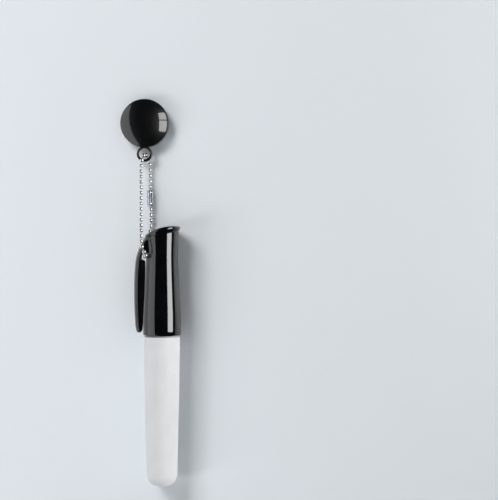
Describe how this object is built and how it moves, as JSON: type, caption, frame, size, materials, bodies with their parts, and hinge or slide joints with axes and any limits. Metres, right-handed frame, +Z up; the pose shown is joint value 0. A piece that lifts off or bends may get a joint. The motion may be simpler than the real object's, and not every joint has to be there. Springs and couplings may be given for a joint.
{
  "type": "felt tip marker",
  "caption": "Dry-wipe felt tip marker with a capped, side-clipped cap, hanging in a ball-chain loop from a round board magnet.",
  "frame": {"origin": "centre of the magnet's flat back face, where it sits on the board", "axes": "+Y into the board along the magnet's axis, +Z up along the hanging marker, +X to the right seen from the front"},
  "size_m": [0.0305, 0.019, 0.1918],
  "materials": {
    "black_plastic": "glossy moulded",
    "white_plastic": "satin moulded",
    "clear_plastic": "milky",
    "nickel": "bright nickel plate",
    "ferrite": "fine-grained sintered",
    "felt": "ink-soaked felt",
    "fibre": "bundled fibre"
  },
  "bodies": {
    "magnet": {"magnet_cover": "black_plastic", "magnet_disc": "ferrite"},
    "chain_top": {"chain_top": "nickel"},
    "link_02": {"chain_link_02": "nickel"},
    "link_03": {"chain_link_03": "nickel"},
    "link_04": {"chain_link_04": "nickel"},
    "link_05": {"chain_link_05": "nickel"},
    "link_06": {"chain_link_06": "nickel"},
    "chain_middle": {"chain_middle": "nickel", "chain_connector": "nickel"},
    "link_10": {"chain_link_10": "nickel"},
    "link_11": {"chain_link_11": "nickel"},
    "link_12": {"chain_link_12": "nickel"},
    "link_13": {"chain_link_13": "nickel"},
    "chain_bottom": {"chain_bottom": "nickel"},
    "cap": {"cap_shell": "black_plastic", "cap_crown": "black_plastic"},
    "seal": {"seal_cup": "clear_plastic"},
    "barrel": {"barrel": "white_plastic", "nib_holder": "white_plastic", "nib": "felt", "reservoir_core": "fibre", "reservoir_film": "clear_plastic"}
  },
  "joints": [
    {"name": "loop_lift", "type": "hinge", "parent": "magnet", "child": "chain_top", "pos_m": [0, -0.0036, -0.01867], "axis": [-1, 0, 0], "range_deg": [0, 80]},
    {"name": "chain_sway", "type": "hinge", "parent": "chain_top", "child": "link_02", "pos_m": [0.0006, -0.00344, -0.01829], "axis": [0, 1, 0], "range_deg": [-6, 6]},
    {"name": "chain_curl", "type": "hinge", "parent": "link_02", "child": "link_03", "pos_m": [0.00051, -0.00367, -0.02097], "axis": [-1, 0, 0], "range_deg": [0, 6]},
    {"name": "chain_sway_2", "type": "hinge", "parent": "link_03", "child": "link_04", "pos_m": [0.00048, -0.00387, -0.02374], "axis": [0, 1, 0], "range_deg": [-6, 6]},
    {"name": "chain_curl_2", "type": "hinge", "parent": "link_04", "child": "link_05", "pos_m": [0.00052, -0.00419, -0.0265], "axis": [-1, 0, 0], "range_deg": [0, 5.5]},
    {"name": "chain_sway_3", "type": "hinge", "parent": "link_05", "child": "link_06", "pos_m": [0.00058, -0.00456, -0.02924], "axis": [0, 1, 0], "range_deg": [-6, 6]},
    {"name": "chain_curl_3", "type": "hinge", "parent": "link_06", "child": "chain_middle", "pos_m": [0.00064, -0.00495, -0.03198], "axis": [-1, 0, 0], "range_deg": [0, 5]},
    {"name": "chain_sway_4", "type": "hinge", "parent": "chain_middle", "child": "link_10", "pos_m": [0.00082, -0.0061, -0.04019], "axis": [0, 1, 0], "range_deg": [-6, 6]},
    {"name": "chain_curl_4", "type": "hinge", "parent": "link_10", "child": "link_11", "pos_m": [0.00089, -0.00648, -0.04293], "axis": [-1, 0, 0], "range_deg": [0, 3.5]},
    {"name": "chain_sway_5", "type": "hinge", "parent": "link_11", "child": "link_12", "pos_m": [0.00094, -0.00685, -0.04566], "axis": [0, 1, 0], "range_deg": [-6, 6]},
    {"name": "chain_curl_5", "type": "hinge", "parent": "link_12", "child": "link_13", "pos_m": [0.00095, -0.00724, -0.0484], "axis": [-1, 0, 0], "range_deg": [0, 3]},
    {"name": "chain_sway_6", "type": "hinge", "parent": "link_13", "child": "chain_bottom", "pos_m": [0.00086, -0.0077, -0.05112], "axis": [0, 1, 0], "range_deg": [-6, 6]},
    {"name": "marker_swing", "type": "hinge", "parent": "chain_bottom", "child": "cap", "pos_m": [0.00027, -0.01272, -0.0662], "axis": [-0.342, 0.9397, 0], "range_deg": [0, 12]},
    {"name": "barrel_twist", "type": "hinge", "parent": "cap", "child": "seal", "pos_m": [0.0091, -0.0095, -0.075], "axis": [0, 0, 1], "continuous": true},
    {"name": "barrel_pull", "type": "slide", "parent": "seal", "child": "barrel", "axis": [0, 0, -1], "range_m": [0, 0.045]}
  ],
  "couplings": [
    {"joint": "chain_sway_2", "follows": "chain_sway", "ratio": 1},
    {"joint": "chain_curl_2", "follows": "chain_curl", "ratio": 0.9162},
    {"joint": "chain_sway_3", "follows": "chain_sway", "ratio": 1},
    {"joint": "chain_curl_3", "follows": "chain_curl", "ratio": 0.8328},
    {"joint": "chain_sway_4", "follows": "chain_sway", "ratio": 1},
    {"joint": "chain_curl_4", "follows": "chain_curl", "ratio": 0.5828},
    {"joint": "chain_sway_5", "follows": "chain_sway", "ratio": 1},
    {"joint": "chain_curl_5", "follows": "chain_curl", "ratio": 0.4995},
    {"joint": "chain_sway_6", "follows": "chain_sway", "ratio": 1}
  ]
}
